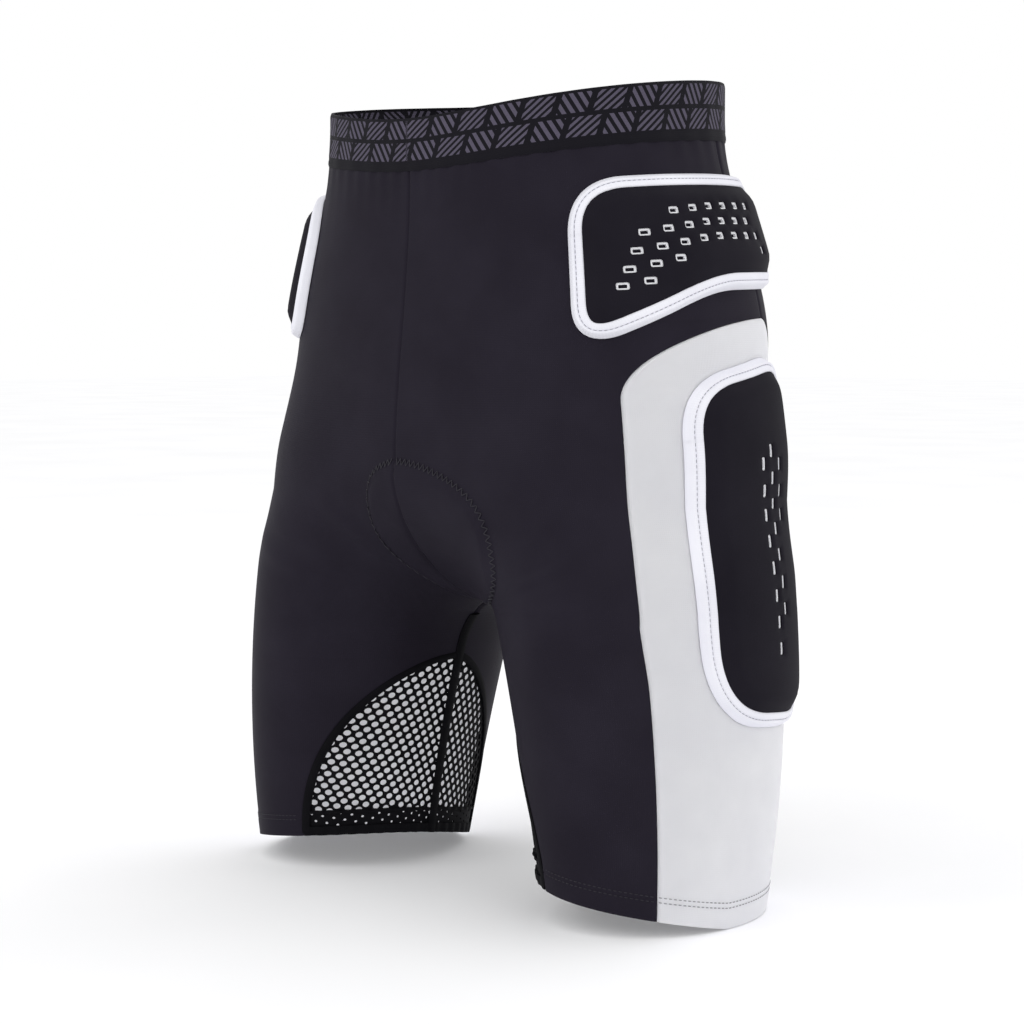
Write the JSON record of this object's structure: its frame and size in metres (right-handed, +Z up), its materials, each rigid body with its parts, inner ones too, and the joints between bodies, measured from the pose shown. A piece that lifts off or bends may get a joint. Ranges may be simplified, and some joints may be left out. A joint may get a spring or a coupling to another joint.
{
  "type": "padded impact shorts",
  "caption": "Close-fitting padded shorts with an elastic waistband, white side panels, bound foam pads on hips and thighs, and mesh inner thighs.",
  "frame": {"origin": "middle of the bounding box's base, on the ground under the two hems", "axes": "+Z up to the waistband, the front faces -Y, the wearer's left side is +X"},
  "size_m": [0.3946, 0.241, 0.4901],
  "materials": {
    "elastic_band": "woven elastic with a raised slanted pattern in grey violet",
    "black_knit": "smooth stretch knit with a faint sheen",
    "white_knit": "smooth stretch knit, cool white",
    "black_mesh": "open round-hole mesh",
    "seam_tape": "narrow woven tape",
    "seat_foam": "soft open-cell foam",
    "seat_liner": "brushed knit",
    "pad_foam": "closed-cell foam, matte",
    "pad_cover": "close knit bonded to the foam",
    "white_tape": "folded stretch binding with a stitched groove",
    "label_cloth": "thin satin"
  },
  "bodies": {
    "root": {"waistband_elastic": "elastic_band", "front_panel_left": "black_knit", "front_panel_right": "black_knit", "back_panel_left": "black_knit", "back_panel_right": "black_knit", "side_panel_left": "white_knit", "side_panel_right": "white_knit", "mesh_front_left": "black_mesh", "mesh_front_right": "black_mesh", "mesh_rear_left": "black_mesh", "mesh_rear_right": "black_mesh", "inseam_tape_left": "seam_tape", "inseam_tape_right": "seam_tape", "seat_pad_foam": "seat_foam", "seat_pad_liner": "seat_liner", "hip_pad_left_foam": "pad_foam", "hip_pad_left_cover": "pad_cover", "hip_pad_left_binding": "white_tape", "hip_pad_right_foam": "pad_foam", "hip_pad_right_cover": "pad_cover", "hip_pad_right_binding": "white_tape", "thigh_pad_left_foam": "pad_foam", "thigh_pad_left_cover": "pad_cover", "thigh_pad_left_binding": "white_tape", "thigh_pad_right_foam": "pad_foam", "thigh_pad_right_cover": "pad_cover", "thigh_pad_right_binding": "white_tape", "tailbone_pad_foam": "pad_foam", "tailbone_pad_cover": "pad_cover", "tailbone_pad_binding": "white_tape", "care_label": "label_cloth"}
  },
  "joints": []
}
